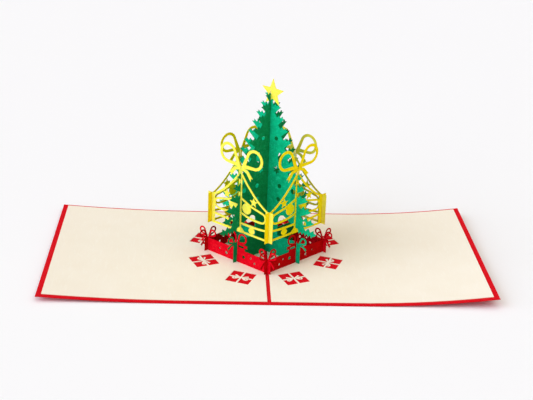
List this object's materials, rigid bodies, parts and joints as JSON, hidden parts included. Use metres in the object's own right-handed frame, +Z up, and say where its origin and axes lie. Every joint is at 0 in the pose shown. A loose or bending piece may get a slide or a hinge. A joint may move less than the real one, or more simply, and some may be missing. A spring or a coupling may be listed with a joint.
{
  "type": "pop-up card",
  "caption": "Square folded greeting card lying open, with a tree of slotted laser-cut paper, tied with bows and garlands, standing on its fold inside a low wall.",
  "frame": {"origin": "middle of the fold, on the underside of the cover where the card rests", "axes": "+X across the fold to the right panel, +Y along the fold to its back end, +Z up, as the tree stands"},
  "size_m": [0.2996, 0.15, 0.1276],
  "materials": {
    "cover": "matt red card, lightly textured",
    "liner": "matt cream paper with fine fibres",
    "tree": "matt green paper, laser-cut edges",
    "base": "matt red paper, laser-cut edges",
    "garland": "matt yellow paper, laser-cut edges"
  },
  "bodies": {
    "root": {"cover": "cover", "liner_left": "liner", "liner_right": "liner", "tree_sheet_a": "tree", "tree_sheet_b": "tree", "tree_star": "garland", "base_wall_front_left": "base", "base_wall_front_right": "base", "base_wall_back_left": "base", "base_wall_back_right": "base", "garland_front_left": "garland", "garland_front_right": "garland", "garland_back_left": "garland", "garland_back_right": "garland"}
  },
  "joints": []
}
